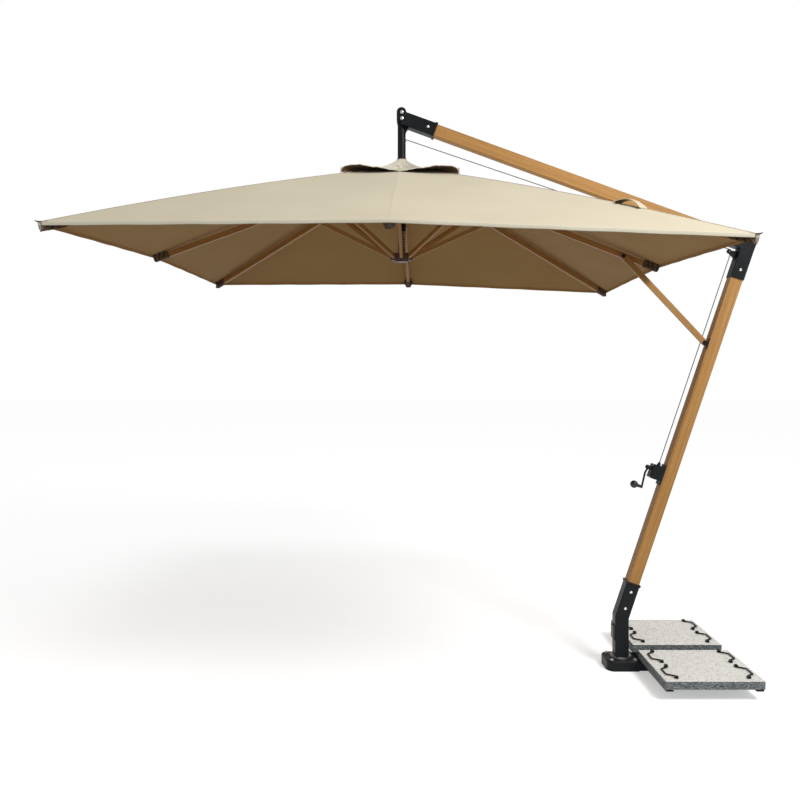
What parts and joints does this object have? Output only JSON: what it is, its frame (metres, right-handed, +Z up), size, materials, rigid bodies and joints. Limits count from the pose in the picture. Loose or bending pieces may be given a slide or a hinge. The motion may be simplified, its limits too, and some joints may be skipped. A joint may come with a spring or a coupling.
{
  "type": "cantilever patio umbrella with base",
  "caption": "Square cantilever parasol hung from a leaning timber mast and arm, cranked up and down by a rope winch, swivelling on a metal foot weighted with stone slabs.",
  "frame": {"origin": "swivel axis where it meets the ground, at the middle of the foot", "axes": "+Z up, +X from the foot towards the ballast slabs, which is away from the canopy, +Y across"},
  "size_m": [3.6413, 3.2064, 3.28],
  "materials": {
    "black_metal": "satin",
    "bare_steel": "satin",
    "cast_hubs": "satin",
    "teak": "satin",
    "canvas": "matte",
    "rope": "matte",
    "granite": "matte",
    "buffer": "matte",
    "grey_plastic": "matte",
    "black_plastic": "satin"
  },
  "bodies": {
    "base": {"base_hub": "black_metal", "base_bolts": "bare_steel", "base_frame": "black_metal", "swivel_spindle": "bare_steel", "slab_front": "granite", "slab_rear": "granite", "handle_sockets": "black_metal"},
    "post": {"lower_post": "black_metal", "cover_plate": "grey_plastic", "sleeve_bolts": "bare_steel", "mast": "teak", "elbow_bracket": "black_metal", "arm": "teak", "head_bracket": "black_metal", "head_screws": "bare_steel", "stub_pole": "black_metal", "stub_stop_screw": "bare_steel", "pulley_axles": "bare_steel", "pulley_bracket": "black_metal", "hoist_rope": "rope", "winch_housing": "black_metal", "rope_guide": "black_metal", "top_hub": "cast_hubs", "top_hub_pins": "bare_steel", "canopy": "canvas", "vent_cap": "canvas", "brace_bracket": "black_metal"},
    "runner": {"runner_hub": "cast_hubs", "runner_buffer": "buffer", "runner_rope": "rope"},
    "crank": {"crank": "black_metal", "winch_drum": "cast_hubs"},
    "crank_knob": {"crank_knob": "black_plastic"},
    "brace": {"brace": "teak"},
    "head_pulley": {"head_pulley": "black_plastic"},
    "elbow_pulley": {"elbow_pulley": "black_plastic"},
    "rib_1": {"rib_1": "teak"},
    "strut_1": {"strut_1": "teak"},
    "handle_1": {"handle_1": "black_metal"},
    "rib_2": {"rib_2": "teak"},
    "strut_2": {"strut_2": "teak"},
    "handle_2": {"handle_2": "black_metal"},
    "rib_3": {"rib_3": "teak"},
    "strut_3": {"strut_3": "teak"},
    "handle_3": {"handle_3": "black_metal"},
    "rib_4": {"rib_4": "teak"},
    "strut_4": {"strut_4": "teak"},
    "handle_4": {"handle_4": "black_metal"},
    "rib_5": {"rib_5": "teak"},
    "strut_5": {"strut_5": "teak"},
    "handle_5": {"handle_5": "black_metal"},
    "rib_6": {"rib_6": "teak"},
    "strut_6": {"strut_6": "teak"},
    "handle_6": {"handle_6": "black_metal"},
    "rib_7": {"rib_7": "teak"},
    "strut_7": {"strut_7": "teak"},
    "handle_7": {"handle_7": "black_metal"},
    "rib_8": {"rib_8": "teak"},
    "strut_8": {"strut_8": "teak"},
    "handle_8": {"handle_8": "black_metal"}
  },
  "joints": [
    {"name": "swivel", "type": "hinge", "parent": "base", "child": "post", "pos_m": [0, 0, 0.07], "axis": [0, 0, 1], "continuous": true},
    {"name": "canopy_fold", "type": "slide", "parent": "post", "child": "runner", "axis": [0, 0, -1], "range_m": [0, 0.7], "deforming": ["canopy", "vent_cap"]},
    {"name": "rib_1_fold", "type": "hinge", "parent": "post", "child": "rib_1", "pos_m": [-1.22264, 0.07606, 2.9], "axis": [0.0621, 0.9981, 0], "range_deg": [0, 62.04]},
    {"name": "strut_1_fold", "type": "hinge", "parent": "rib_1", "child": "strut_1", "pos_m": [-0.67512, 0.042, 2.64208], "axis": [0.0621, 0.9981, 0], "range_deg": [-125.68, 0]},
    {"name": "rib_2_fold", "type": "hinge", "parent": "post", "child": "rib_2", "pos_m": [-1.23642, 0.11602, 2.9], "axis": [-0.6643, 0.7474, 0], "range_deg": [0, 67.41]},
    {"name": "strut_2_fold", "type": "hinge", "parent": "rib_2", "child": "strut_2", "pos_m": [-0.82803, 0.47899, 2.70162], "axis": [-0.6643, 0.7474, 0], "range_deg": [-126.27, 0]},
    {"name": "rib_3_fold", "type": "hinge", "parent": "post", "child": "rib_3", "pos_m": [-1.27412, 0.13437, 2.9], "axis": [-0.9981, 0.0621, 0], "range_deg": [0, 63.54]},
    {"name": "strut_3_fold", "type": "hinge", "parent": "rib_3", "child": "strut_3", "pos_m": [-1.24006, 0.68181, 2.65897], "axis": [-0.9981, 0.0621, 0], "range_deg": [-125.81, 0]},
    {"name": "rib_4_fold", "type": "hinge", "parent": "post", "child": "rib_4", "pos_m": [-1.31379, 0.12083, 2.9], "axis": [-0.7518, -0.6593, 0], "range_deg": [0, 69.44]},
    {"name": "strut_4_fold", "type": "hinge", "parent": "rib_4", "child": "strut_4", "pos_m": [-1.67263, 0.53001, 2.72338], "axis": [-0.7518, -0.6593, 0], "range_deg": [-126.58, 0]},
    {"name": "rib_5_fold", "type": "hinge", "parent": "post", "child": "rib_5", "pos_m": [-1.33242, 0.08289, 2.9], "axis": [-0.0621, -0.9981, 0], "range_deg": [0, 64.8]},
    {"name": "strut_5_fold", "type": "hinge", "parent": "rib_5", "child": "strut_5", "pos_m": [-1.87947, 0.11693, 2.67303], "axis": [-0.0621, -0.9981, 0], "range_deg": [-125.93, 0]},
    {"name": "rib_6_fold", "type": "hinge", "parent": "post", "child": "rib_6", "pos_m": [-1.31864, 0.04294, 2.9], "axis": [0.6643, -0.7474, 0], "range_deg": [0, 69.44]},
    {"name": "strut_6_fold", "type": "hinge", "parent": "rib_6", "child": "strut_6", "pos_m": [-1.72542, -0.3186, 2.72338], "axis": [0.6643, -0.7474, 0], "range_deg": [-126.58, 0]},
    {"name": "rib_7_fold", "type": "hinge", "parent": "post", "child": "rib_7", "pos_m": [-1.28095, 0.02459, 2.9], "axis": [0.9981, -0.0621, 0], "range_deg": [0, 63.54]},
    {"name": "strut_7_fold", "type": "hinge", "parent": "rib_7", "child": "strut_7", "pos_m": [-1.315, -0.52285, 2.65897], "axis": [0.9981, -0.0621, 0], "range_deg": [-125.81, 0]},
    {"name": "rib_8_fold", "type": "hinge", "parent": "post", "child": "rib_8", "pos_m": [-1.24127, 0.03813, 2.9], "axis": [0.7518, 0.6593, 0], "range_deg": [0, 67.41]},
    {"name": "strut_8_fold", "type": "hinge", "parent": "rib_8", "child": "strut_8", "pos_m": [-0.88102, -0.37266, 2.70162], "axis": [0.7518, 0.6593, 0], "range_deg": [-126.27, 0]},
    {"name": "crank_turn", "type": "hinge", "parent": "post", "child": "crank", "pos_m": [0.16979, -0.02917, 1.16225], "axis": [0.9471, -0.0589, -0.3154], "range_deg": [0, 2161]},
    {"name": "knob_spin", "type": "hinge", "parent": "crank", "child": "crank_knob", "pos_m": [0.07203, -0.02309, 1.06729], "axis": [0.9471, -0.0589, -0.3154], "continuous": true},
    {"name": "head_pulley_turn", "type": "hinge", "parent": "post", "child": "head_pulley", "pos_m": [-1.26555, 0.07873, 3.09], "axis": [-0.0621, -0.9981, 0], "continuous": true},
    {"name": "elbow_pulley_turn", "type": "hinge", "parent": "post", "child": "elbow_pulley", "pos_m": [0.61865, -0.03849, 2.41996], "axis": [-0.0621, -0.9981, 0], "continuous": true},
    {"name": "brace_fold", "type": "hinge", "parent": "post", "child": "brace", "pos_m": [0.46935, -0.05725, 1.88952], "axis": [-0.0621, -0.9981, 0], "range_deg": [0, 119]},
    {"name": "handle_1_lift", "type": "hinge", "parent": "base", "child": "handle_1", "pos_m": [0.158, -0.399, 0.1175], "axis": [0, 1, 0], "range_deg": [0, 180]},
    {"name": "handle_2_lift", "type": "hinge", "parent": "base", "child": "handle_2", "pos_m": [0.541, -0.399, 0.1175], "axis": [0, -1, 0], "range_deg": [0, 180]},
    {"name": "handle_3_lift", "type": "hinge", "parent": "base", "child": "handle_3", "pos_m": [0.158, -0.167, 0.1175], "axis": [0, 1, 0], "range_deg": [0, 180]},
    {"name": "handle_4_lift", "type": "hinge", "parent": "base", "child": "handle_4", "pos_m": [0.541, -0.167, 0.1175], "axis": [0, -1, 0], "range_deg": [0, 180]},
    {"name": "handle_5_lift", "type": "hinge", "parent": "base", "child": "handle_5", "pos_m": [0.158, 0.167, 0.1175], "axis": [0, 1, 0], "range_deg": [0, 180]},
    {"name": "handle_6_lift", "type": "hinge", "parent": "base", "child": "handle_6", "pos_m": [0.541, 0.167, 0.1175], "axis": [0, -1, 0], "range_deg": [0, 180]},
    {"name": "handle_7_lift", "type": "hinge", "parent": "base", "child": "handle_7", "pos_m": [0.158, 0.399, 0.1175], "axis": [0, 1, 0], "range_deg": [0, 180]},
    {"name": "handle_8_lift", "type": "hinge", "parent": "base", "child": "handle_8", "pos_m": [0.541, 0.399, 0.1175], "axis": [0, -1, 0], "range_deg": [0, 180]}
  ],
  "couplings": [
    {"joint": "rib_1_fold", "follows": "canopy_fold", "rad_per_m": 1.5467},
    {"joint": "strut_1_fold", "follows": "canopy_fold", "rad_per_m": -3.1334},
    {"joint": "rib_2_fold", "follows": "canopy_fold", "rad_per_m": 1.6804},
    {"joint": "strut_2_fold", "follows": "canopy_fold", "rad_per_m": -3.1479},
    {"joint": "rib_3_fold", "follows": "canopy_fold", "rad_per_m": 1.584},
    {"joint": "strut_3_fold", "follows": "canopy_fold", "rad_per_m": -3.1365},
    {"joint": "rib_4_fold", "follows": "canopy_fold", "rad_per_m": 1.731},
    {"joint": "strut_4_fold", "follows": "canopy_fold", "rad_per_m": -3.1558},
    {"joint": "rib_5_fold", "follows": "canopy_fold", "rad_per_m": 1.6154},
    {"joint": "strut_5_fold", "follows": "canopy_fold", "rad_per_m": -3.1397},
    {"joint": "rib_6_fold", "follows": "canopy_fold", "rad_per_m": 1.731},
    {"joint": "strut_6_fold", "follows": "canopy_fold", "rad_per_m": -3.1558},
    {"joint": "rib_7_fold", "follows": "canopy_fold", "rad_per_m": 1.584},
    {"joint": "strut_7_fold", "follows": "canopy_fold", "rad_per_m": -3.1365},
    {"joint": "rib_8_fold", "follows": "canopy_fold", "rad_per_m": 1.6804},
    {"joint": "strut_8_fold", "follows": "canopy_fold", "rad_per_m": -3.1479},
    {"joint": "crank_turn", "follows": "canopy_fold", "rad_per_m": 53.856},
    {"joint": "head_pulley_turn", "follows": "canopy_fold", "rad_per_m": 83.333},
    {"joint": "elbow_pulley_turn", "follows": "canopy_fold", "rad_per_m": 83.333}
  ]
}
